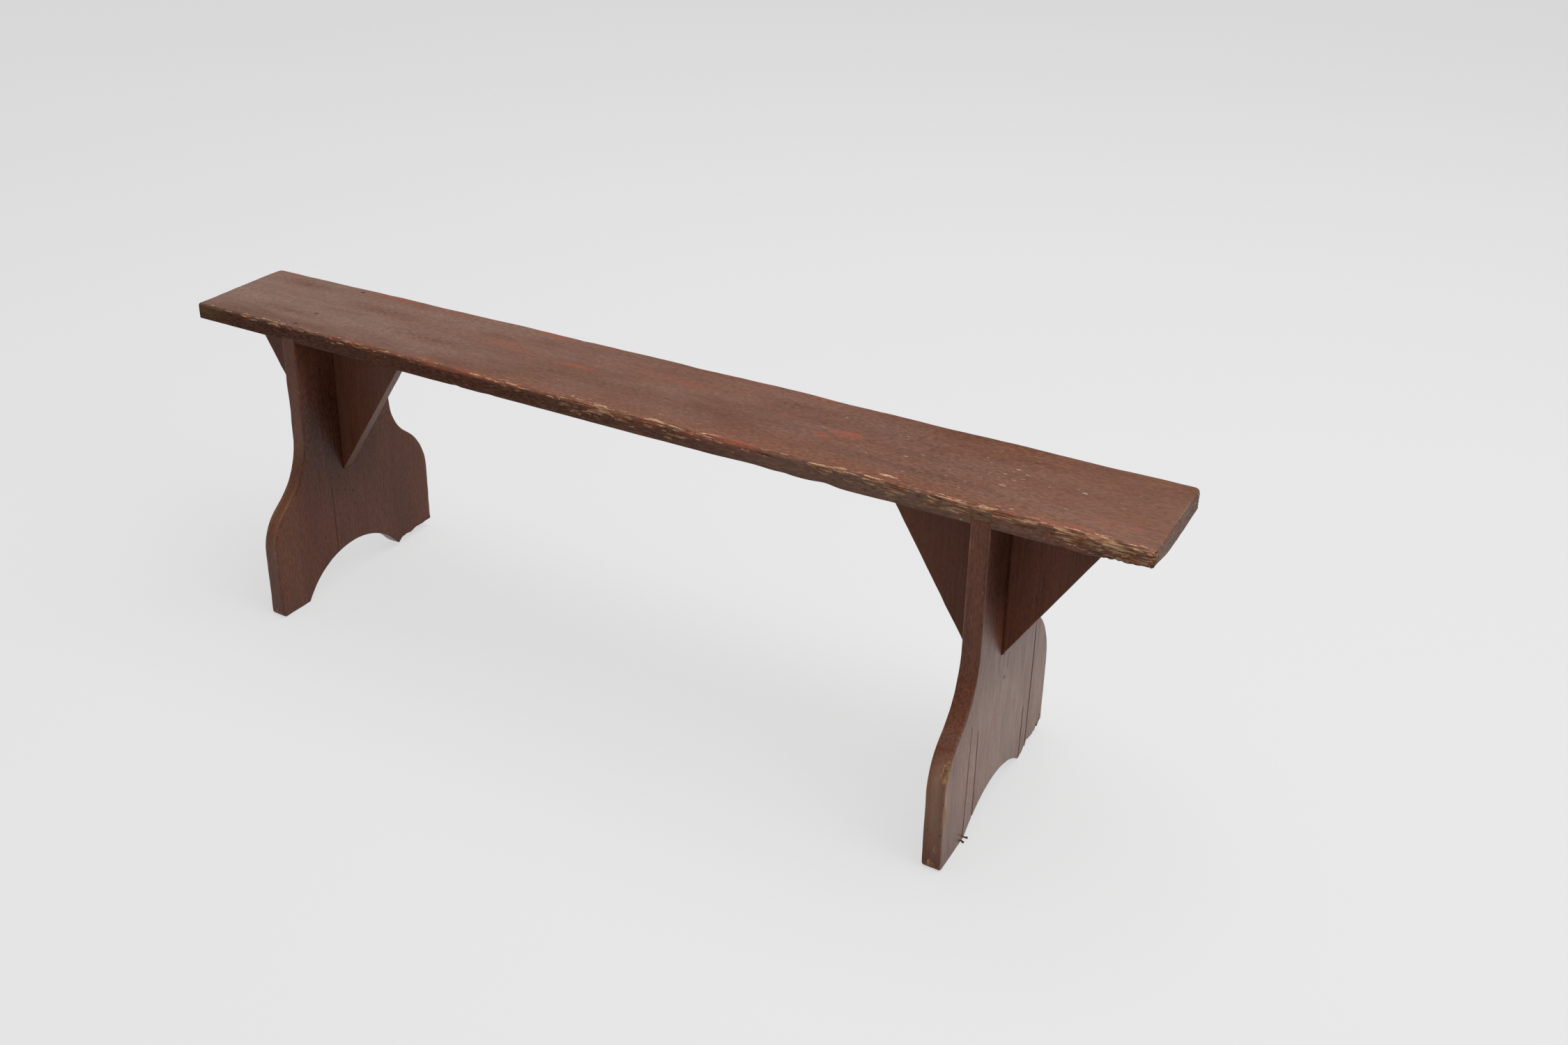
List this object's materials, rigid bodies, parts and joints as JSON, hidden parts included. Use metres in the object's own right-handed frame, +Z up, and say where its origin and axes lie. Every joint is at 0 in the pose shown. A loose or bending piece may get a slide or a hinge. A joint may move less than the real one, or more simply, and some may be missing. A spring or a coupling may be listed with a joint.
{
  "type": "painted wood bench",
  "caption": "Long narrow plank bench on ogee-cut board legs that are housed in the seat and held by triangular braces.",
  "frame": {"origin": "on the floor, under the middle of the seat", "axes": "+X along the seat towards its right end, +Y across the seat towards the back, +Z up"},
  "size_m": [1.5, 0.3565, 0.465],
  "materials": {
    "seat_paint": "old brown paint over softwood, worn along the edges, semi-matt",
    "leg_paint": "old brown paint over softwood, vertical grain, semi-matt",
    "brace_paint": "old brown paint over softwood, semi-matt",
    "nail_iron": "dark rusted iron under paint"
  },
  "bodies": {
    "root": {"seat_board": "seat_paint", "left_leg_board": "leg_paint", "right_leg_board": "leg_paint", "left_inner_brace": "brace_paint", "left_outer_brace": "brace_paint", "right_inner_brace": "brace_paint", "right_outer_brace": "brace_paint", "left_leg_nails": "nail_iron", "right_leg_nails": "nail_iron", "left_inner_brace_seat_nail": "nail_iron", "left_inner_brace_tip_nail": "nail_iron", "left_outer_brace_seat_nail": "nail_iron", "left_outer_brace_tip_nail": "nail_iron", "right_inner_brace_seat_nail": "nail_iron", "right_inner_brace_tip_nail": "nail_iron", "right_outer_brace_seat_nail": "nail_iron", "right_outer_brace_tip_nail": "nail_iron"}
  },
  "joints": []
}
